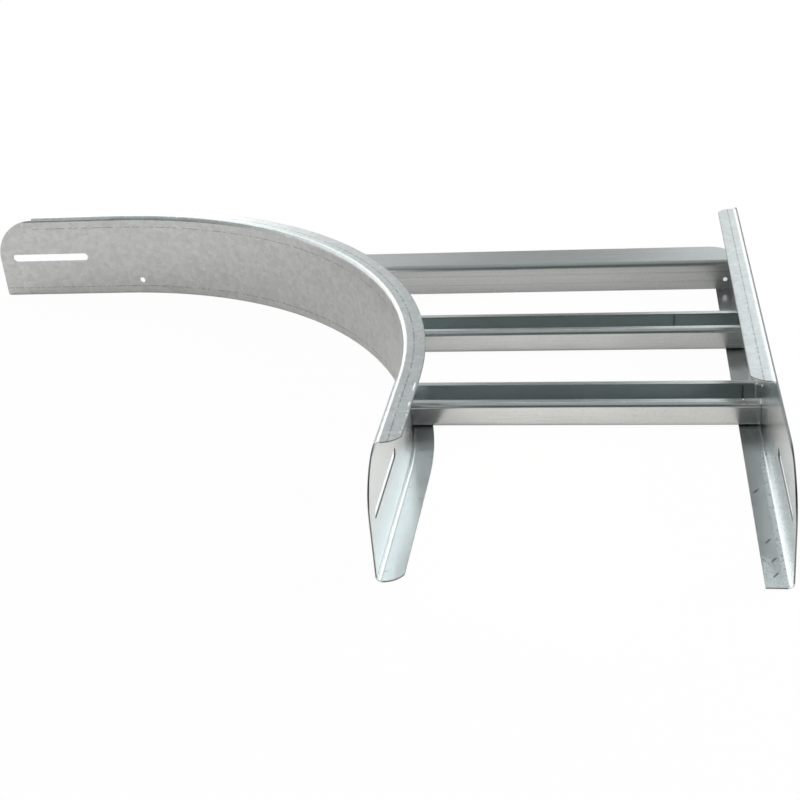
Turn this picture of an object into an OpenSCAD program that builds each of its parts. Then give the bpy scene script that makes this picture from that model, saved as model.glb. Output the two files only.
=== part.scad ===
// Half branch tee of a cable ladder: a curved rail, a straight rail, two open rungs and a rear angle.
// Folded from galvanised sheet and spot welded. The floor is Z = 0 and the front arms point to -Y.

/* [Rails] */
// Height of both side rails
rail_h = 100; // [96:1:120]
// Clear width between the webs of the two rails
clear_w = 309.5; // [280:0.5:400]
// Thickness of every sheet
sheet_t = 1.5; // [1.25:0.25:2]
// Width of the rail flanges, measured over the web
flange_w = 21; // [18:0.5:24]
// Outside radius of the rail folds
fold_r = 5; // [3:0.25:5.5]
// Radius of the rounded flange ends
tip_r = 18; // [16:1:24]

/* [Curved rail] */
// Radius of the open face of the curved web
bend_r = 412; // [340:1:600]
// Straight length of the left arm beyond the bend
left_arm_l = 151; // [140:1:220]
// Straight length of both front arms, measured from the start of the bend
front_arm_l = 151; // [148:1:220]
// Diameter of the small hole at the foot of the curved rail
foot_hole_d = 6.5; // [5:0.5:10]
// Height of the small hole above the floor
foot_hole_z = 18.5; // [12:0.5:24]
// Angle of the small hole from the end of the bend
foot_hole_angle = 3.5; // [2:0.1:8]

/* [Rail ends] */
// Radius of the rounded nose at the top of a web end
nose_r = 49; // [40:1:50]
// Radius of the nose at the front end of the curved rail
front_nose_r = 42; // [38:1:50]
// Drop of the nose's top below the flange
nose_drop = 2; // [0:0.5:4]
// Length of the bolt slots, tip to tip
slot_l = 96; // [60:1:110]
// Width of the bolt slots
slot_w = 9; // [7:0.5:13]
// Web left between a rail end and its slot
slot_inset = 16; // [12:1:22]

/* [Straight rail] */
// Length at the front end that has no top flange
bare_l = 137; // [110:1:145]
// Drop of the bare web's top edge below the flange
bare_drop = 2; // [0:0.5:4]
// Reach of the straight rail behind the front face of the rear angle
rail_past = 40; // [20:1:60]

/* [Rungs] */
// Distance from the start of the bend to the front rung
first_rung_y = 84; // [60:1:110]
// Width of a rung
rung_w = 48; // [40:1:54]
// Height of a rung
rung_h = 23.5; // [18:0.5:30]
// Width of each lip beside the mouth of a rung, measured over the wall
lip_w = 9.5; // [6.5:0.5:12]
// Outside radius of the rung folds
rung_fold_r = 4.5; // [3:0.5:6]
// Clearance between a cross member and a web
weld_gap = 0.5; // [0.25:0.25:2]

/* [Rear angle] */
// Distance from the front face of the angle back to the left arm's web
angle_inset = 20; // [12:1:40]
// Height of the standing leg
angle_h = 33.5; // [28:0.5:40]
// Depth of the level leg
angle_d = 44; // [36:1:60]
// Outside radius of the fold
angle_fold_r = 6; // [2.5:0.5:8]
// Radius of the rear corners of the level leg
angle_corner_r = 25; // [8:1:30]
// Diameter of the small hole
angle_hole_d = 5; // [4:0.5:7]
// Distance from the small hole to the end of the angle
angle_hole_inset = 9; // [6:1:14]
// Height of the small hole above the floor
angle_hole_z = 13; // [9:0.5:20]

/* [Hidden] */
$fn = 96;
cut = 1;
web_in_r = bend_r + sheet_t;
straight_web_x = web_in_r + clear_w;
outer_x = straight_web_x + sheet_t;
angle_y = bend_r - angle_inset;
middle_rung_y = (first_rung_y + angle_y) / 2;
rail_rear_l = angle_y + rail_past;
angle_rear_y = angle_y + angle_d;
rear_y = max(angle_rear_y, bend_r + flange_w, rail_rear_l);
mid_x = (outer_x - left_arm_l) / 2;
mid_y = (rear_y - front_arm_l) / 2;
cross_end_x = straight_web_x - weld_gap;
cope_r = web_in_r + weld_gap;
foot_r = fold_r - sheet_t;
angle_start_x = sqrt(cope_r * cope_r - angle_y * angle_y);
galvanised = [0.72, 0.74, 0.75];
rung_grey = [0.62, 0.64, 0.65];

// Places a piece drawn about the centre of the bend so that the middle of the whole tee is the origin
module placed() {
    translate([-mid_x, -mid_y, 0])
        children();
}

// Rectangle with its two left corners rounded
module left_rounded(w, h, r) {
    translate([r, 0])
        square([w - r, h]);
    translate([0, r])
        square([r, h - 2 * r]);
    for (y = [r, h - r])
        translate([r, y])
            circle(r);
}

// Rectangle with all four corners rounded
module all_rounded(w, h, r) {
    translate([r, 0])
        square([w - 2 * r, h]);
    translate([0, r])
        square([w, h - 2 * r]);
    for (x = [r, w - r], y = [r, h - r])
        translate([x, y])
            circle(r);
}

// C-section of a rail: web on the left, flanges to the right
module rail_section() {
    difference() {
        left_rounded(flange_w, rail_h, fold_r);
        translate([sheet_t, sheet_t])
            left_rounded(flange_w, rail_h - 2 * sheet_t, fold_r - sheet_t);
    }
}

// Section of a rail without its top flange, its web cut off below the fold by a drop
module bare_section(drop) {
    intersection() {
        rail_section();
        square([flange_w, rail_h / 2]);
    }
    translate([0, rail_h / 2])
        square([sheet_t, rail_h / 2 - drop]);
}

// Extrudes a section towards -Y from the start of the bend
module towards_front(length) {
    rotate([90, 0, 0])
        linear_extrude(height = length)
            children();
}

// Extrudes an outline drawn along -Y and Z through the web and the flanges
module through_web(depth) {
    translate([-cut, 0, 0])
        rotate([90, 0, 90])
            linear_extrude(height = depth + 2 * cut)
                children();
}

// Obround with its left tip at the origin
module obround(length, width) {
    translate([width / 2, -width / 2])
        square([length - width, width]);
    for (x = [width / 2, length - width / 2])
        translate([x, 0])
            circle(d = width);
}

// What is cut away outside a rounded corner that points to -X and -Y
module corner_waste(r) {
    difference() {
        translate([-cut, -cut])
            square(r + cut);
        translate([r, r])
            circle(r);
    }
}

// What is cut away outside the rounded end of a flange, beyond the fold
module flange_end_waste() {
    translate([max(flange_w, fold_r + tip_r), 0, 0])
        mirror([1, 0, 0])
            linear_extrude(height = fold_r + cut)
                corner_waste(tip_r);
}

// Rail that runs from the start of the bend to a nosed and slotted end at -Y
module rail_end(length, nose, bare, drop, rounded_foot) {
    difference() {
        union() {
            towards_front(length)
                bare_section(drop);
            towards_front(length - bare)
                rail_section();
        }
        through_web(flange_w)
            translate([-length, rail_h - drop])
                mirror([0, 1])
                    corner_waste(nose);
        through_web(sheet_t)
            translate([slot_inset - length, rail_h / 2])
                obround(slot_l, slot_w);
        translate([0, bare - length, rail_h - fold_r])
            flange_end_waste();
        if (rounded_foot)
            translate([0, -length, -cut])
                flange_end_waste();
    }
}

// Curved side rail with the left arm and the left one of the two front arms
module curved_rail() {
    color(galvanised)
        placed()
            difference() {
                union() {
                    rotate_extrude(angle = 90, $fn = 360)
                        translate([bend_r, 0])
                            rail_section();
                    translate([bend_r, 0, 0])
                        rail_end(front_arm_l, front_nose_r, front_nose_r, nose_drop, true);
                    rotate([0, 0, 90])
                        mirror([0, 1, 0])
                            translate([bend_r, 0, 0])
                                rail_end(left_arm_l, nose_r, nose_r, nose_drop, true);
                }
                rotate([0, 0, 90 - foot_hole_angle])
                    translate([bend_r - cut, 0, foot_hole_z])
                        rotate([0, 90, 0])
                            cylinder(h = sheet_t + 2 * cut, d = foot_hole_d);
            }
}

// Straight side rail on the right, its flanges towards the curved rail
module straight_rail() {
    color(galvanised)
        placed()
            translate([outer_x, 0, 0])
                mirror([1, 0, 0]) {
                    rail_end(front_arm_l, nose_r, bare_l, bare_drop, false);
                    mirror([0, 1, 0])
                        rail_end(rail_rear_l, nose_r, nose_r, nose_drop, false);
                }
}

// What is cut off the foot of a cross member's ends, where the rails have their rounded corners
module foot_waste() {
    translate([0, 0, sheet_t])
        rotate_extrude($fn = 360)
            translate([cope_r, 0])
                corner_waste(foot_r);
    translate([cross_end_x, rear_y, sheet_t])
        rotate([90, 0, 0])
            linear_extrude(height = rear_y)
                mirror([1, 0])
                    corner_waste(foot_r);
}

// Section of a rung: a channel with a mouth between two lips at the top
module rung_section() {
    difference() {
        all_rounded(rung_w, rung_h, rung_fold_r);
        translate([sheet_t, sheet_t])
            all_rounded(rung_w - 2 * sheet_t, rung_h - 2 * sheet_t, rung_fold_r - sheet_t);
        translate([lip_w, rung_h - sheet_t - cut])
            square([rung_w - 2 * lip_w, sheet_t + 2 * cut]);
    }
}

// Rung that stands on both bottom flanges, its left end cut to follow the curved web
module rung(front_y) {
    difference() {
        translate([0, front_y, sheet_t])
            rotate([90, 0, 90])
                linear_extrude(height = cross_end_x)
                    rung_section();
        cylinder(h = rail_h, r = cope_r, $fn = 360);
        foot_waste();
    }
}

// Rung at the front
module rung_front() {
    color(rung_grey)
        placed()
            rung(first_rung_y);
}

// Rung in the middle
module rung_middle() {
    color(rung_grey)
        placed()
            rung(middle_rung_y);
}

// Section of the rear angle: standing leg in front, level leg at the top
module angle_section() {
    difference() {
        translate([0, angle_h])
            mirror([0, 1])
                left_rounded(angle_d, angle_h + angle_fold_r, angle_fold_r);
        translate([sheet_t, angle_h - sheet_t])
            mirror([0, 1])
                left_rounded(angle_d, angle_h + angle_fold_r, angle_fold_r - sheet_t);
        translate([-cut, -angle_fold_r - cut])
            square([angle_d + 2 * cut, angle_fold_r + cut]);
    }
}

// Cross member that closes the back of the tee
module rear_angle() {
    angle_l = cross_end_x - angle_start_x;
    color(rung_grey)
        placed()
            difference() {
                translate([angle_start_x, angle_y, sheet_t])
                    difference() {
                        rotate([90, 0, 90])
                            linear_extrude(height = angle_l)
                                angle_section();
                        translate([0, angle_d, angle_h - angle_fold_r])
                            mirror([0, 1, 0])
                                linear_extrude(height = angle_fold_r + cut)
                                    corner_waste(angle_corner_r);
                        translate([angle_l, angle_d, angle_h - angle_fold_r])
                            rotate([0, 0, 180])
                                linear_extrude(height = angle_fold_r + cut)
                                    corner_waste(angle_corner_r);
                        translate([angle_l - angle_hole_inset, -cut, angle_hole_z - sheet_t])
                            rotate([-90, 0, 0])
                                cylinder(h = sheet_t + 2 * cut, d = angle_hole_d);
                    }
                foot_waste();
            }
}

curved_rail();
straight_rail();
rung_front();
rung_middle();
rear_angle();
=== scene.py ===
"""Half branch tee of a cable ladder in galvanised sheet steel, on a white studio sweep."""

import math
from collections import namedtuple

import bpy
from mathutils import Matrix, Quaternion, Vector


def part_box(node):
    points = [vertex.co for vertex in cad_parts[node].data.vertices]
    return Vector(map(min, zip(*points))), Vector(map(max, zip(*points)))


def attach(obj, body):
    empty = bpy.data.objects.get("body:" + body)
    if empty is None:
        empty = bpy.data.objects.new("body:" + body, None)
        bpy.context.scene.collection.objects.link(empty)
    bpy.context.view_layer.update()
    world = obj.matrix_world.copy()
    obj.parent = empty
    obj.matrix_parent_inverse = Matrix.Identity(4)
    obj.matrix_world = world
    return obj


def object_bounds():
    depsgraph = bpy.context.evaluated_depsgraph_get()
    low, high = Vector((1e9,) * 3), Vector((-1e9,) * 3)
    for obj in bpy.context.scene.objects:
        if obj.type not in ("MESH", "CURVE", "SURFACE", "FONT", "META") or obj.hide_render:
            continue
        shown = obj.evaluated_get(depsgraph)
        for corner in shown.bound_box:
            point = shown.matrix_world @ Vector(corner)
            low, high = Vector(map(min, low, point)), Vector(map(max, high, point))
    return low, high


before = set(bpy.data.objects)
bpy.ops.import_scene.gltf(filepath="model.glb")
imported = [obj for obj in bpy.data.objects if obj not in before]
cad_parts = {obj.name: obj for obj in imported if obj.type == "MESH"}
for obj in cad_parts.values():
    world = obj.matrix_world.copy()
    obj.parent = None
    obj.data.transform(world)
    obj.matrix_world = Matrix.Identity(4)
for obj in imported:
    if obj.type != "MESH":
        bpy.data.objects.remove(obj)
CAD_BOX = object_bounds()

# Sizes of the sheet metal, in metres
SHEET = 0.0015
FLANGE = 0.021
FOLD = 0.005
BEND_RADIUS = 0.412
NOSE = 0.049
FRONT_NOSE = 0.042
BARE_WEB = 0.137
RAIL_TOP = CAD_BOX[1].z

# Blur where one face of a sheet meets the next
HAIR = 0.0002

# Places taken from the frame
CURVED_LOW, CURVED_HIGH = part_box("curved_rail")
STRAIGHT_LOW, STRAIGHT_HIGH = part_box("straight_rail")
RUNG_LOW, RUNG_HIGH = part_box("rung_front")
BEND_CENTRE = CURVED_HIGH - Vector((BEND_RADIUS + FLANGE, BEND_RADIUS + FLANGE, RAIL_TOP))

# Zinc of each kind of piece: two greys, roughness and what the tone adds to it, bump, spread of the tone
Zinc = namedtuple("Zinc", "dull bright rough rougher bump spread", defaults=(0.25,))
RAIL_ZINC = Zinc(dull=0.56, bright=0.735, rough=0.28, rougher=0.12, bump=0.04)
# Painted light and shade: the front rung's greys are paler than the middle rung's, and the rear angle's
# darker still
FRONT_RUNG_LIT_ZINC = Zinc(dull=0.63, bright=0.77, rough=0.18, rougher=0.12, bump=0.04)
MIDDLE_RUNG_SHADED_ZINC = Zinc(dull=0.57, bright=0.71, rough=0.18, rougher=0.12, bump=0.04)
ANGLE_SHADED_ZINC = Zinc(dull=0.47, bright=0.585, rough=0.26, rougher=0.16, bump=0.08)
# The drops' greys are raised above the other zinc's as painted highlight, so that the drops shine white
DROP_ZINC_PAINTED_GLINT = Zinc(dull=0.86, bright=0.97, rough=0.4, rougher=0.2, bump=0.05, spread=0.3)
ZINC_TINT = (0.993, 1.0, 0.998)
TONE_MIDDLE = 0.5
RELIEF_DEPTH = 0.001

# Greys of worn, marked and cut places
PALE_GREY = 0.97
DARK_GREY = 0.12
ANGLE_LINE_GREY = 0.2

# Zinc inside the rails, with painted light and shade: painted shade beside the rungs, painted light, bright
# and bluish, from a little in front of the front rung
INNER_SHADED = (0.59, 0.6, 0.6, 1)
INNER_LIT = (0.85, 0.88, 0.885, 1)
INNER_LIGHT_SHARE = 0.8
INNER_AHEAD = 0.035
INNER_BLUR = 0.02
INNER_GLOSS = 0.09
INNER_FLATNESS = 0.8

# Painted shade inside the rungs' channels: darker, teal zinc
CHANNEL_SHADE_GREY = (0.595, 0.645, 0.64, 1)
CHANNEL_SHADE_SHARE = 0.7

# Roll lines in the rails' zinc
FLANGE_LINE = FLANGE * 0.52
UPPER_LINE = RAIL_TOP * 0.87
LOWER_LINE = RAIL_TOP * 0.11
FLANGE_LINE_HALF = 0.0005
WEB_LINE_HALF = 0.0004

# How strongly marks, cut edges, wear and painted light and shade show on the rails
MARK_SHARE = 0.6
RIM_SHARE = 0.7
CUT_EDGE_SHARE = 0.8
PALE_MOST = 0.9
DARK_MOST = 0.85
PALE_ROUGHNESS = 0.2

# Dark lines across the rungs' channels, measured from the right end
FRONT_DARK_LINE = 0.012
MIDDLE_DARK_LINE = 0.069
DARK_LINE_HALF = 0.0006
DARK_LINE_BLUR = 0.0004
DARK_LINE_SHARE = 0.8
SPECK_SHARE = 0.4

# Roll lines on the rear angle's standing leg, as heights
ANGLE_LOWER_LINE = 0.0117
ANGLE_UPPER_LINE = 0.0224
ANGLE_LINE_HALF = 0.0003
ANGLE_LINE_SHARE = 0.4

# Wear on the curved rail, and a painted shade line in its inner fold
FLECK_SHARE = 0.7
SCUFF_SHARE = 0.5
FOLD_SHADE_HALF = 0.0006
FOLD_SHADE_INSET = 0.0005
FOLD_SHADE_SHARE = 0.7

# Painted highlights (a streak and a patch) on the straight rail's foot and painted shade on its outer fold,
# with insets from the rail's open face
STREAK_MIDDLE = 0.0045
STREAK_HALF = 0.0026
STREAK_PAST_BEND = 0.027
STREAK_UP = 0.002
PATCH_MIDDLE = 0.0169
PATCH_HALF = 0.003
PATCH_LENGTH = 0.036
SHADED_FOLD = 0.0016
STRAIGHT_DULL_SHARE = 0.8

# Dark dashes on the straight rail's foot: inset, distance in front of the bend
DASHES = ((0.0159, 0.022), (0.0134, 0.0927), (0.0115, 0.1173), (0.0120, 0.1360))
DASH_TURN = math.radians(54)
DASH_LENGTH_HALF = 0.0035
DASH_WIDTH_HALF = 0.0007

# Drops of zinc by the front arm's rim: distance in front of the bend, inset, half length
RIM_DROPS = (
    (0.0944, 0.0022, 0.0011), (0.0883, 0.0011, 0.0009), (0.0677, 0.0012, 0.0014),
    (0.0613, 0.0013, 0.0012), (0.0498, 0.0020, 0.0036), (0.0198, 0.0024, 0.0080),
)
DROP_WIDTH = 0.0007
DROP_HEIGHT = 0.0004

# Drops on the front rung's lips: inset from its right end, distance behind its front, half sizes
LIP_DROPS = (
    (0.001, 0.036, (0.0012, 0.0012, 0.0008)),
    (0.015, 0.008, (0.0007, 0.0009, 0.0005)),
)

# Drop on the straight rail's web above the front rung: height, half sizes
WEB_DROP_UP = 0.043
WEB_DROP = (0.0006, 0.0012, 0.0012)

# Bead of zinc round a rung's right end
LIP = 0.0095
BEAD = 0.0009
BEAD_STEP = 0.0012

# Random change of the drops' sizes, and how finely a drop is rounded
DROP_VARIATION = 0.12
DROP_SEED = 4
DROP_SUBDIVISIONS = 3

# Camera
CAMERA_PLACE = Vector((0.32345, -1.0731, 0.5858))
CAMERA_AIM = Vector((0.14305, 0.0097, 0.1010))
CAMERA_ROLL = math.radians(-4.84)
CAMERA_LENS = 56.8
CAMERA_SHIFT = (-0.050, -0.125)

# Shape of the sweep
FLOOR_RADIUS = 3.2
FLOOR_RINGS = (0.02, 0.25, 0.5, 0.75)
COVE_RADIUS = 0.6
COVE_STEPS = 10
WALL_TOP = 1.4
SWEEP_SIDES = 96

# Colour and glow of the sweep, whose wall is grey and dark in front of the part
WHITE = (1, 1, 1, 1)
SWEEP_COLOUR = (0.945, 0.89, 0.845, 1)
SWEEP_FRONT = (0.2, 0.2, 0.2, 1)
FRONT_EDGE = -1.5
FRONT_BLUR = 0.5
GLOW_SEEN = 0.97
GLOW_IN_METAL = 0.2
LEVEL_WALL = 0.56

# Light of the room above the sweep
LEVEL_BACK = 0.2
LEVEL_FRONT = 0.10
LEVEL_OVERHEAD = 0.45
LEVEL_LEFT = 0.34
BACK_TINT = (0.84, 0.99, 1, 1)
FRONT_TINT = (0.91, 1, 0.99, 1)

# Softboxes: azimuth from straight behind the part to its right, elevation, distance, size, radiance, tint
LEFT_TINT = (0.97, 0.99, 1)
RIGHT_TINT = (0.92, 0.98, 1)
SOFTBOXES = {
    "left_back_softbox": (-30, 25, 2.8, (1.24, 2.2), 1.35, LEFT_TINT),
    "left_inner_softbox": (-10, 24.5, 2.6, (0.5, 0.45), 0.6, LEFT_TINT),
    "right_back_softbox": (29, 26, 2.7, (1.15, 2.2), 1.15, RIGHT_TINT),
    "right_inner_softbox": (13.5, 23, 2.6, (0.4, 0.6), 0.7, RIGHT_TINT),
    "upper_softbox": (3, 43, 2.9, (0.6, 0.6), 0.9, RIGHT_TINT),
    "left_side_softbox": (-64, 24, 2.6, (1.6, 1.6), 0.8, LEFT_TINT),
    "right_side_softbox": (66, 26, 2.6, (1.6, 1.6), 5.0, RIGHT_TINT),
}
FLOOR_FILL = (-60, 84, 3.0, (2.5, 2.5), 1.15, LEFT_TINT)

# Spot lamp above the floor between the front arms
SPOT_PLACE = Vector((0.30, -0.17, 2.0))
SPOT_CONE = math.radians(13)
SPOT_BLEND = 0.7
SPOT_POWER = 33.0

# Sockets that go by number, because their names repeat within a node
MIX_FACTOR = 0
MIX_VECTOR_A, MIX_VECTOR_B, MIX_VECTOR_OUT = 4, 5, 1
MIX_COLOUR_A, MIX_COLOUR_B, MIX_COLOUR_OUT = 6, 7, 2
RANDOM_LOW, RANDOM_HIGH, RANDOM_SEED, RANDOM_OUT = 2, 3, 8, 1


class Wire:
    """A socket of a node tree. Sums and products of wires and numbers add Math nodes."""

    def __init__(self, tree, socket=None):
        self.tree = tree
        self.socket = socket

    def node(self, kind, settings=(), sockets=(), out=0):
        """Adds a node, sets its settings, then fills or links its inputs, and gives one output."""
        made = self.tree.nodes.new(kind)
        for name, value in dict(settings).items():
            setattr(made, name, value)
        for name, value in dict(sockets).items():
            if isinstance(value, Wire):
                self.tree.links.new(value.socket, made.inputs[name])
            else:
                made.inputs[name].default_value = value
        return Wire(self.tree, made.outputs[out] if len(made.outputs) else None)

    def math(self, operation, *others):
        values = dict(enumerate((self, *others)))
        return self.node("ShaderNodeMath", {"operation": operation}, values)

    def __add__(self, other):
        return self.math("ADD", other)

    def __sub__(self, other):
        return self.math("SUBTRACT", other)

    def __mul__(self, other):
        return self.math("MULTIPLY", other)

    def __rsub__(self, other):
        return self * -1 + other

    __radd__ = __add__
    __rmul__ = __mul__

    def above(self, edge, blur):
        """0 below the edge and 1 above it, with a soft step."""
        sockets = {"Value": self, "From Min": edge - blur, "From Max": edge + blur}
        return self.node("ShaderNodeMapRange", {"interpolation_type": "SMOOTHSTEP"}, sockets)

    def below(self, edge, blur):
        """1 below the edge and 0 above it, with a soft step."""
        return 1 - self.above(edge, blur)

    def near(self, place, half, blur):
        """1 within half a width of a place, 0 away from it."""
        return (self - place).math("ABSOLUTE").below(half, blur)

    def line(self, place, half):
        """Soft line at a place, blurred by half its width."""
        return self.near(place, half, half)

    def xyz(self):
        """The X, Y and Z of a vector."""
        parts = self.node("ShaderNodeSeparateXYZ", sockets={0: self}).socket.node.outputs
        return [Wire(self.tree, part) for part in parts]


def mix_colour(factor, first, second):
    """Colour that goes from the first to the second as the factor goes from 0 to 1."""
    sockets = {MIX_FACTOR: factor, MIX_COLOUR_A: first, MIX_COLOUR_B: second}
    return factor.node("ShaderNodeMix", {"data_type": "RGBA"}, sockets, MIX_COLOUR_OUT)


def vector_math(place, operation, sockets, out=0):
    return place.node("ShaderNodeVectorMath", {"operation": operation}, sockets, out)


def noise(place, scale=1.0, detail=2.0, roughness=0.5):
    sockets = {"Vector": place, "Scale": scale, "Detail": detail, "Roughness": roughness}
    return place.node("ShaderNodeTexNoise", sockets=sockets)


def stretched(place, scale, turn=(0.0, 0.0, 0.0)):
    """Coordinates turned, then scaled apart along X, Y and Z."""
    sockets = {"Vector": place, "Rotation": turn, "Scale": scale}
    return place.node("ShaderNodeMapping", sockets=sockets)


def new_material(name):
    """Empty material and the object coordinates of its surface."""
    material = bpy.data.materials.new(name)
    material.use_nodes = True
    tree = material.node_tree
    tree.nodes.clear()
    return material, Wire(tree).node("ShaderNodeTexCoord", out="Object")


def grey(level):
    """Zinc grey of a given lightness."""
    return (*(level * share for share in ZINC_TINT), 1)


def bare_zinc(tone, zinc):
    """Colour of unmarked zinc, from its dull to its bright grey as the tone rises."""
    return mix_colour(tone.above(TONE_MIDDLE, zinc.spread), grey(zinc.dull), grey(zinc.bright))


def finish_zinc(place, zinc, base, roughness, height, under=()):
    """Closes a zinc material: metal of a varied colour and gloss with a shallow relief."""
    relief = {"Height": height, "Strength": zinc.bump, "Distance": RELIEF_DEPTH, **dict(under)}
    normal = place.node("ShaderNodeBump", sockets=relief)
    sockets = {"Base Color": base, "Metallic": 1.0, "Roughness": roughness, "Normal": normal}
    shader = place.node("ShaderNodeBsdfPrincipled", sockets=sockets)
    place.node("ShaderNodeOutputMaterial", sockets={"Surface": shader})


def past_bend_centre(place):
    """Distances to the right of the bend's centre and behind it, neither below 0."""
    x, y, _ = place.xyz()
    return (x - BEND_CENTRE.x).math("MAXIMUM", 0.0), (y - BEND_CENTRE.y).math("MAXIMUM", 0.0)


def across_curved(place):
    """Distance from the curved web's open face, measured square to the rail."""
    right, back = past_bend_centre(place)
    return (right * right + back * back).math("SQRT") - BEND_RADIUS


def across_straight(place):
    """Distance from the straight web's open face, measured square to the rail."""
    x, _, _ = place.xyz()
    return STRAIGHT_HIGH.x - x


def outward_curved(place):
    """Level direction from the curved web's open face towards its flanges."""
    right, back = past_bend_centre(place)
    reach = place.node("ShaderNodeCombineXYZ", sockets={"X": right, "Y": back})
    return vector_math(place, "NORMALIZE", {0: reach})


def outward_straight(_place):
    """Level direction from the straight web's open face towards its flanges, the same everywhere."""
    return (-1.0, 0.0, 0.0)


def flanged_curved(place):
    """1 where the curved rail has its top flange, 0 on its two noses."""
    x, y, _ = place.xyz()
    return x.above(CURVED_LOW.x + NOSE, HAIR) * y.above(CURVED_LOW.y + FRONT_NOSE, HAIR)


def flanged_straight(place):
    """1 where the straight rail has its top flange, 0 on its bare front end."""
    _, y, _ = place.xyz()
    return y.above(STRAIGHT_LOW.y + BARE_WEB, HAIR)


def curved_wear_and_shade(place, across):
    """Pale flecks on the curved rail's top flange, dull scuffs on its foot and a painted shade line in its
    inner fold.
    """
    _, _, z = place.xyz()
    flecks = noise(stretched(place, (420.0, 150.0, 420.0)), detail=1.0).above(edge=0.71, blur=0.03)
    scuff_way = stretched(place, (110.0, 420.0, 420.0), turn=(0.0, 0.0, 0.4))
    scuffs = noise(scuff_way, detail=1.0).above(edge=0.73, blur=0.02)
    # Painted shade: a dark line where the inner fold meets the web
    fold_shade = z.near(FOLD, FOLD_SHADE_HALF, blur=0.0005)
    fold_shade = fold_shade * across.near(SHEET + FOLD_SHADE_INSET, FOLD_SHADE_HALF, blur=0.0003)
    pale = flecks * z.above(RAIL_TOP - SHEET, HAIR) * FLECK_SHARE
    dull = scuffs * z.below(SHEET + HAIR, HAIR) * SCUFF_SHARE + fold_shade * FOLD_SHADE_SHARE
    return pale, dull


def straight_wear_and_painted_light(place, across):
    """Mottled painted highlights as a pale streak and patch on the straight rail's foot, dark dashes, and
    painted shade on its outer fold.
    """
    _, y, z = place.xyz()
    on_foot = z.below(SHEET + HAIR, HAIR)
    mottle = noise(place, scale=330.0, detail=3.0, roughness=0.7).above(edge=0.46, blur=0.1)
    # Painted highlights: a pale streak along the inner fold and a pale patch near the front end
    streak = across.near(STREAK_MIDDLE, STREAK_HALF, blur=0.0012) * z.below(FOLD + STREAK_UP, blur=0.002)
    streak = streak * y.below(BEND_CENTRE.y + STREAK_PAST_BEND, blur=0.02)
    patch = across.near(PATCH_MIDDLE, PATCH_HALF, blur=0.0015) * on_foot
    patch = patch * y.below(STRAIGHT_LOW.y + PATCH_LENGTH, blur=0.008)
    # Painted shade on the outer fold
    dull = across.below(SHADED_FOLD, blur=0.0006) * z.above(RAIL_TOP - FOLD, blur=0.001)
    for inset, ahead in DASHES:
        side, back = across - inset, y - (BEND_CENTRE.y - ahead)
        along = back * math.sin(DASH_TURN) - side * math.cos(DASH_TURN)
        beside = back * math.cos(DASH_TURN) + side * math.sin(DASH_TURN)
        dash = along.near(0.0, DASH_LENGTH_HALF, blur=0.001)
        dash = dash * beside.near(0.0, DASH_WIDTH_HALF, blur=0.0004)
        dull = dull + dash * on_foot
    return (streak + patch) * mottle, dull * STRAIGHT_DULL_SHARE


def rail_marks(place, across, flanged):
    """Broken roll lines along a rail's top flange and web, and a dark rim along the flange."""
    _, _, z = place.xyz()
    on_top = z.above(RAIL_TOP - SHEET, HAIR)
    on_web = across.below(SHEET + 2 * HAIR, HAIR)
    broken = noise(place, scale=260.0, detail=1.0).above(edge=0.47, blur=0.06)
    flange_line = across.line(FLANGE_LINE, FLANGE_LINE_HALF) * on_top
    upper_line = z.line(UPPER_LINE, WEB_LINE_HALF) * flanged
    web_lines = (upper_line + z.line(LOWER_LINE, WEB_LINE_HALF)) * on_web
    rim_line = across.above(FLANGE - 3 * HAIR, HAIR) * on_top
    return (flange_line + web_lines) * broken + rim_line * RIM_SHARE


def rail_cut_edges(place, across, flanged):
    """1 on the cut edges of a rail's web and flanges."""
    _, _, z = place.xyz()
    half_sheet = SHEET / 2
    in_sheet = half_sheet - HAIR
    web_edge = across.near(half_sheet, in_sheet, HAIR / 2) * z.above(FOLD, HAIR)
    web_edge = web_edge * (1 - z.above(RAIL_TOP - FOLD, HAIR) * flanged)
    lower_edge = z.near(half_sheet, in_sheet, HAIR / 2)
    upper_edge = z.near(RAIL_TOP - half_sheet, in_sheet, HAIR / 2)
    return web_edge + (lower_edge + upper_edge) * across.above(FOLD, HAIR)


def rolled_normal(place, across, outward):
    """Normal of a rail's rounded section, so that its folds and its bend shine without facets.

    Where the surface turns away from that section, as on cut edges, it keeps its own normal.
    """
    _, _, z = place.xyz()
    sideways = (across - FOLD).math("MINIMUM", 0.0)
    upwards = (z - (RAIL_TOP - FOLD)).math("MAXIMUM", 0.0) + (z - FOLD).math("MINIMUM", 0.0)
    level = vector_math(place, "SCALE", {0: outward, "Scale": sideways})
    upright = place.node("ShaderNodeCombineXYZ", sockets={"Z": upwards})
    rolled = vector_math(place, "NORMALIZE", {0: vector_math(place, "ADD", {0: level, 1: upright})})
    flat = place.node("ShaderNodeNewGeometry", out="True Normal")
    facing = vector_math(place, "DOT_PRODUCT", {0: rolled, 1: flat}, out="Value")
    turned = vector_math(place, "SCALE", {0: rolled, "Scale": facing.math("SIGN")})
    close = facing.math("ABSOLUTE").above(edge=0.9, blur=0.03)
    sockets = {MIX_FACTOR: close, MIX_VECTOR_A: flat, MIX_VECTOR_B: turned}
    return place.node("ShaderNodeMix", {"data_type": "VECTOR"}, sockets, MIX_VECTOR_OUT)


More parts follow.
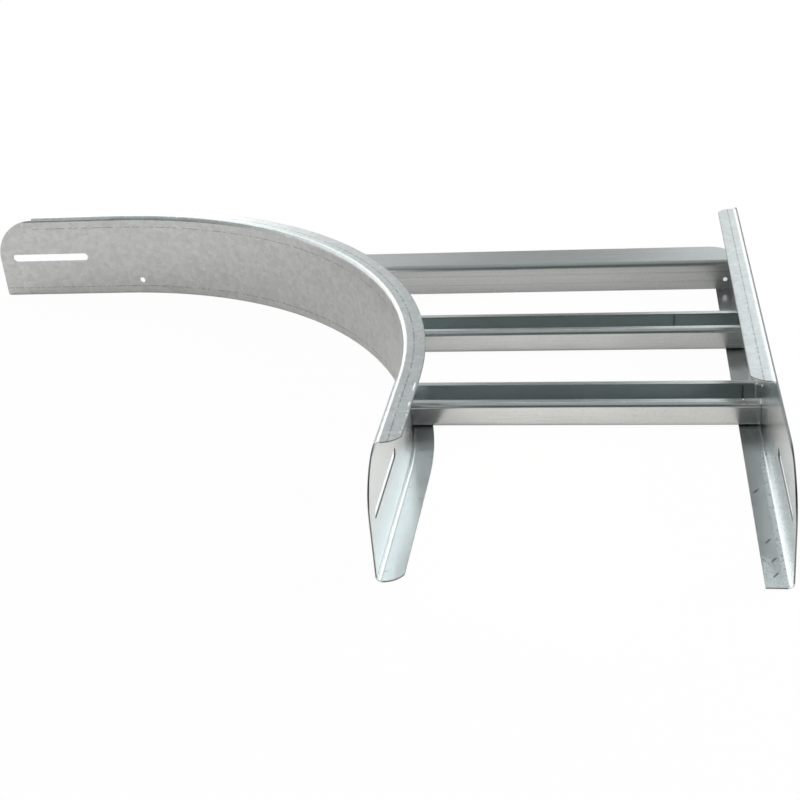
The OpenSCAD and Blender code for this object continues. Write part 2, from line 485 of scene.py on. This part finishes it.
def rail_zinc(name, across_of, outward_of, flanged_of, wear_and_painted_light_of):
    """Hot dip zinc of a rail: clouded, streaked, faintly spangled, with roll lines, wear, cut edges, and
    painted light and shade.
    """
    material, place = new_material(name)
    across, flanged = across_of(place), flanged_of(place)
    # pale holds pale wear and painted highlights; dull holds wear, dashes and painted shade
    pale, dull = wear_and_painted_light_of(place, across)
    _, y, z = place.xyz()
    clouds = noise(place, scale=150.0, detail=4.0, roughness=0.6)
    streak_way = stretched(place, (90.0, 90.0, 260.0), turn=(0.5, 0.6, 0.0))
    streaks = noise(streak_way, detail=3.0, roughness=0.6)
    cells = place.node("ShaderNodeTexVoronoi", sockets={"Vector": place, "Scale": 170.0}, out="Color")
    spangle = cells.node("ShaderNodeSeparateColor", sockets={0: cells})
    grain = noise(place, scale=420.0, detail=3.0, roughness=0.65)
    tone = 0.3 * clouds + 0.25 * streaks + 0.17 * spangle + 0.28 * grain

    marks = rail_marks(place, across, flanged)
    cut_edges = rail_cut_edges(place, across, flanged)
    within = across.above(SHEET - HAIR, HAIR) * z.below(RAIL_TOP - SHEET / 2, HAIR)
    smooth = within * (1 - cut_edges.math("MINIMUM", 1.0))
    # Painted light and shade on the rails' inner faces: shade beside the rungs, light from a little in
    # front of the front rung
    lit_ahead = y.below(RUNG_LOW.y - INNER_AHEAD, INNER_BLUR)
    inner = mix_colour(lit_ahead, INNER_SHADED, INNER_LIT)

    base = mix_colour(smooth * INNER_LIGHT_SHARE, bare_zinc(tone, RAIL_ZINC), inner)
    base = mix_colour(pale.math("MINIMUM", PALE_MOST), base, grey(PALE_GREY))
    dark = (marks * MARK_SHARE + cut_edges * CUT_EDGE_SHARE + dull).math("MINIMUM", DARK_MOST)
    base = mix_colour(dark, base, grey(DARK_GREY))
    roughness = RAIL_ZINC.rough + RAIL_ZINC.rougher * tone - INNER_GLOSS * smooth + PALE_ROUGHNESS * pale
    height = (0.6 * clouds + 0.4 * grain) * (1 - INNER_FLATNESS * smooth)
    rolled = rolled_normal(place, across, outward_of(place))
    finish_zinc(place, RAIL_ZINC, base, roughness, height, {"Normal": rolled})
    return material


def rung_zinc(name, node, dark_line_inset, zinc):
    """Zinc of a rung: smooth, with fine drawn lines, a channel darkened as painted shade and one dark line
    across it.
    """
    material, place = new_material(name)
    low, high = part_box(node)
    x, y, z = place.xyz()
    drawn = noise(stretched(place, (18.0, 700.0, 700.0)), detail=3.0, roughness=0.6)
    grain = noise(place, scale=500.0, detail=3.0, roughness=0.65)
    clouds = noise(place, scale=30.0, detail=3.0)
    tone = 0.4 * drawn + 0.35 * grain + 0.25 * clouds
    reach = (high.y - low.y) / 2 - SHEET / 2
    inside = y.near((low.y + high.y) / 2, reach, HAIR) * z.below(high.z - SHEET, HAIR)
    dark_line = x.near(high.x - dark_line_inset, DARK_LINE_HALF, DARK_LINE_BLUR) * inside
    specks = noise(place, scale=650.0, detail=1.0).above(edge=0.72, blur=0.03) * (1 - inside)
    # Painted shade: darker, teal zinc inside the channel
    base = mix_colour(inside * CHANNEL_SHADE_SHARE, bare_zinc(tone, zinc), CHANNEL_SHADE_GREY)
    base = mix_colour(dark_line * DARK_LINE_SHARE + specks * SPECK_SHARE, base, grey(DARK_GREY))
    finish_zinc(place, zinc, base, zinc.rough + zinc.rougher * tone, 0.5 * drawn + 0.5 * grain)
    return material


def angle_zinc(name):
    """Zinc of the rear angle: duller, and darker as painted shade, with drawn lines and two roll lines
    along its standing leg.
    """
    material, place = new_material(name)
    low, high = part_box("rear_angle")
    _, y, z = place.xyz()
    drawn = noise(stretched(place, (14.0, 500.0, 500.0)), detail=4.0, roughness=0.65)
    grain = noise(place, scale=380.0, detail=3.0, roughness=0.65)
    tone = 0.55 * drawn + 0.45 * grain
    on_leg = y.below(low.y + SHEET, HAIR) * z.below(high.z - FOLD, HAIR)
    lines = z.line(ANGLE_LOWER_LINE, ANGLE_LINE_HALF) + z.line(ANGLE_UPPER_LINE, ANGLE_LINE_HALF)
    base = mix_colour(lines * on_leg * ANGLE_LINE_SHARE, bare_zinc(tone, ANGLE_SHADED_ZINC), grey(ANGLE_LINE_GREY))
    roughness = ANGLE_SHADED_ZINC.rough + ANGLE_SHADED_ZINC.rougher * tone
    finish_zinc(place, ANGLE_SHADED_ZINC, base, roughness, 0.6 * drawn + 0.4 * grain)
    return material


def drop_zinc(name):
    """Bright zinc of the small frozen drops, paler than the other zinc as painted highlight."""
    material, place = new_material(name)
    tone = noise(place, scale=900.0)
    roughness = DROP_ZINC_PAINTED_GLINT.rough + DROP_ZINC_PAINTED_GLINT.rougher * tone
    finish_zinc(place, DROP_ZINC_PAINTED_GLINT, bare_zinc(tone, DROP_ZINC_PAINTED_GLINT), roughness, tone)
    return material


def dress(node, material):
    """Gives a CAD node's surface a material."""
    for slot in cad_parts[node].material_slots:
        slot.material = material


def add_object(name, data):
    made = bpy.data.objects.new(name, data)
    bpy.context.scene.collection.objects.link(made)
    return made


def drop_tree():
    """Geometry Nodes that set a flattened drop on each point, as large as the point's drop_size says."""
    tree = bpy.data.node_groups.new("zinc_drops", "GeometryNodeTree")
    kinds = {"Points": "Geometry", "Variation": "Float", "Seed": "Int", "Finish": "Material"}
    sockets = {}
    for name, kind in kinds.items():
        sockets[name] = tree.interface.new_socket(name, in_out="INPUT", socket_type="NodeSocket" + kind)
    tree.interface.new_socket("Drops", in_out="OUTPUT", socket_type="NodeSocketGeometry")
    given = Wire(tree).node("NodeGroupInput").socket.node.outputs
    points, variation, seed, finish = [Wire(tree, given[name]) for name in sockets]
    named = {"Name": "drop_size"}
    size = points.node("GeometryNodeInputNamedAttribute", {"data_type": "FLOAT_VECTOR"}, named)
    spread = {RANDOM_LOW: 1 - variation, RANDOM_HIGH: 1 + variation, RANDOM_SEED: seed}
    factor = points.node("FunctionNodeRandomValue", {"data_type": "FLOAT"}, spread, RANDOM_OUT)
    scale = vector_math(size, "SCALE", {0: size, "Scale": factor})
    ball = {"Radius": 1.0, "Subdivisions": DROP_SUBDIVISIONS}
    drop = points.node("GeometryNodeMeshIcoSphere", sockets=ball)
    placed = {"Points": points, "Instance": drop, "Scale": scale}
    drops = points.node("GeometryNodeInstanceOnPoints", sockets=placed)
    solid = drops.node("GeometryNodeRealizeInstances", sockets={0: drops})
    smooth = solid.node("GeometryNodeSetShadeSmooth", sockets={0: solid})
    coated = smooth.node("GeometryNodeSetMaterial", sockets={"Geometry": smooth, "Material": finish})
    coated.node("NodeGroupOutput", sockets={0: coated})
    return tree, {name: socket.identifier for name, socket in sockets.items()}


def bead_places(node):
    """Points along a rung's right end: over its front lip, over its rear lip and down its rear wall."""
    low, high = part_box(node)
    end, top, rear = high.x, high.z - SHEET / 2, high.y - SHEET
    lines = (
        (Vector((end, low.y + SHEET, top)), Vector((end, low.y + LIP, top))),
        (Vector((end, high.y - LIP, top)), Vector((end, rear, top))),
        (Vector((end, rear, top)), Vector((end, rear, low.z + FOLD))),
    )
    places = []
    for start, stop in lines:
        count = int((stop - start).length / BEAD_STEP)
        places += [start.lerp(stop, step / count) for step in range(count + 1)]
    return places


def drop_places():
    """Place and half sizes of each drop: by the front arm's rim and about the rungs' right ends."""
    rim = BEND_CENTRE + Vector((BEND_RADIUS + FLANGE, 0, RAIL_TOP))
    drops = []
    for ahead, inset, half in RIM_DROPS:
        drops.append((rim - Vector((inset, ahead, 0)), (DROP_WIDTH, half, DROP_HEIGHT)))
    for node in ("rung_front", "rung_middle"):
        drops += [(place, (BEAD, BEAD, BEAD)) for place in bead_places(node)]
    for inset, behind, halves in LIP_DROPS:
        drops.append((Vector((RUNG_HIGH.x - inset, RUNG_LOW.y + behind, RUNG_HIGH.z)), halves))
    drops.append((Vector((STRAIGHT_HIGH.x - SHEET, RUNG_LOW.y, WEB_DROP_UP)), WEB_DROP))
    return drops


def build_drops():
    """Small drops of zinc left by the dip, as one piece on the part's only body."""
    drops = drop_places()
    mesh = bpy.data.meshes.new("zinc_drop_points")
    mesh.from_pydata([place for place, _ in drops], [], [])
    sizes = mesh.attributes.new("drop_size", "FLOAT_VECTOR", "POINT")
    sizes.data.foreach_set("vector", [value for _, size in drops for value in size])
    points = add_object("zinc_drop_points", mesh)
    tree, identifiers = drop_tree()
    modifier = points.modifiers.new("drops", "NODES")
    modifier.node_group = tree
    modifier[identifiers["Variation"]] = DROP_VARIATION
    modifier[identifiers["Seed"]] = DROP_SEED
    modifier[identifiers["Finish"]] = drop_zinc("drop_zinc")
    graph = bpy.context.evaluated_depsgraph_get()
    solid = bpy.data.meshes.new_from_object(points.evaluated_get(graph))
    points.modifiers.remove(modifier)
    bpy.data.objects.remove(points)
    piece = add_object("zinc_drops", solid)
    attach(piece, "root")


def sweep_mesh():
    """Round floor that turns up into a low wall, as rings of quads about the Z axis."""
    outline = [(FLOOR_RADIUS * share, 0.0) for share in FLOOR_RINGS]
    for step in range(COVE_STEPS + 1):
        turn = math.pi / 2 * step / COVE_STEPS
        out = FLOOR_RADIUS + COVE_RADIUS * math.sin(turn)
        outline.append((out, COVE_RADIUS * (1 - math.cos(turn))))
    outline.append((FLOOR_RADIUS + COVE_RADIUS, WALL_TOP))
    places = []
    for out, up in outline:
        for side in range(SWEEP_SIDES):
            angle = math.tau * side / SWEEP_SIDES
            places.append((out * math.cos(angle), out * math.sin(angle), up))
    faces = [tuple(range(SWEEP_SIDES))]
    for ring in range(len(outline) - 1):
        first = ring * SWEEP_SIDES
        for side in range(SWEEP_SIDES):
            here, beside = first + side, first + (side + 1) % SWEEP_SIDES
            faces.append((here, here + SWEEP_SIDES, beside + SWEEP_SIDES, beside))
    mesh = bpy.data.meshes.new("sweep")
    mesh.from_pydata(places, [], faces)
    mesh.shade_smooth()
    return mesh


def sweep_white():
    """Matt white that the camera sees as plain white.

    Metal sees that white by a share only, so that it shows the shade on the floor too.
    """
    material, place = new_material("sweep_white")
    _, y, z = place.xyz()
    path = place.node("ShaderNodeLightPath").socket.node.outputs
    rays = ("Is Camera Ray", "Is Transmission Ray", "Is Glossy Ray")
    by_camera, through_glass, in_gloss = [Wire(place.tree, path[name]) for name in rays]
    wall = z.above(edge=0.2, blur=0.1)
    behind = y.above(FRONT_EDGE, FRONT_BLUR)
    in_metal = GLOW_IN_METAL * (1 - wall) + LEVEL_WALL * wall * behind
    shown = (by_camera + through_glass).math("MINIMUM", 1.0) * GLOW_SEEN + in_gloss * in_metal
    colour = mix_colour((1 - behind) * wall, SWEEP_COLOUR, SWEEP_FRONT)
    matt = place.node("ShaderNodeBsdfDiffuse", sockets={"Color": colour})
    glow = place.node("ShaderNodeEmission", sockets={"Color": WHITE, "Strength": 1.0})
    both = place.node("ShaderNodeMixShader", sockets={0: shown, 1: matt, 2: glow})
    place.node("ShaderNodeOutputMaterial", sockets={"Surface": both})
    return material


def build_sweep():
    mesh = sweep_mesh()
    mesh.materials.append(sweep_white())
    add_object("studio_sweep", mesh)


def build_world():
    """Soft grey room above the sweep: pale at the back, dim in front, paler overhead and on its left."""
    world = bpy.data.worlds.new("studio")
    bpy.context.scene.world = world
    world.use_nodes = True
    world.node_tree.nodes.clear()
    way = Wire(world.node_tree).node("ShaderNodeTexCoord", out="Generated")
    x, y, z = way.xyz()
    behind = y.above(edge=0.2, blur=0.6)
    overhead = z.above(edge=0.84, blur=0.1)
    round_about = LEVEL_FRONT * (1 - behind) + LEVEL_BACK * behind
    level = round_about * (1 - overhead) + LEVEL_OVERHEAD * overhead
    level = level + LEVEL_LEFT * x.below(edge=-0.26, blur=0.1)
    tint = mix_colour(behind, FRONT_TINT, BACK_TINT)
    background = way.node("ShaderNodeBackground", sockets={"Color": tint, "Strength": level})
    way.node("ShaderNodeOutputWorld", sockets={"Surface": background})


def softbox(name, azimuth, elevation, distance, size, radiance, tint):
    """Area lamp of a given radiance that faces the part's origin, unseen by the camera."""
    lamp = bpy.data.lights.new(name, "AREA")
    lamp.shape = "RECTANGLE"
    lamp.size, lamp.size_y = size
    lamp.energy = radiance * math.pi * lamp.size * lamp.size_y
    lamp.color = tint
    made = add_object(name, lamp)
    turn, lift = math.radians(azimuth), math.radians(elevation)
    level = math.cos(lift)
    away = Vector((math.sin(turn) * level, math.cos(turn) * level, math.sin(lift)))
    made.location = away * distance
    made.rotation_mode = "QUATERNION"
    made.rotation_quaternion = (-away).to_track_quat("-Z", "Y")
    made.visible_camera = False
    return made


def floor_spot():
    """Lamp that lights the floor between the front arms from straight above and gives no highlight."""
    lamp = bpy.data.lights.new("floor_spot", "SPOT")
    lamp.energy = SPOT_POWER
    lamp.spot_size = SPOT_CONE
    lamp.spot_blend = SPOT_BLEND
    made = add_object("floor_spot", lamp)
    made.location = SPOT_PLACE
    made.visible_glossy = False
    made.visible_camera = False


def build_lamps():
    """Softboxes about the part, then two lamps from above that metal doesn't reflect."""
    for name, values in SOFTBOXES.items():
        softbox(name, *values)
    softbox("floor_fill", *FLOOR_FILL).visible_glossy = False
    floor_spot()


def build_camera():
    camera = bpy.data.cameras.new("camera")
    camera.lens = CAMERA_LENS
    camera.shift_x, camera.shift_y = CAMERA_SHIFT
    made = add_object("camera", camera)
    made.location = CAMERA_PLACE
    made.rotation_mode = "QUATERNION"
    aimed = (CAMERA_AIM - CAMERA_PLACE).to_track_quat("-Z", "Y")
    made.rotation_quaternion = aimed @ Quaternion((0, 0, 1), CAMERA_ROLL)
    bpy.context.scene.camera = made


CURVED = (across_curved, outward_curved, flanged_curved, curved_wear_and_shade)
STRAIGHT = (across_straight, outward_straight, flanged_straight, straight_wear_and_painted_light)
dress("curved_rail", rail_zinc("curved_rail_zinc", *CURVED))
dress("straight_rail", rail_zinc("straight_rail_zinc", *STRAIGHT))
dress("rung_front", rung_zinc("rung_front_zinc", "rung_front", FRONT_DARK_LINE, FRONT_RUNG_LIT_ZINC))
dress("rung_middle", rung_zinc("rung_middle_zinc", "rung_middle", MIDDLE_DARK_LINE, MIDDLE_RUNG_SHADED_ZINC))
dress("rear_angle", angle_zinc("rear_angle_zinc"))
build_drops()
build_sweep()
build_world()
build_lamps()
build_camera()
bpy.context.scene.view_settings.view_transform = "Standard"
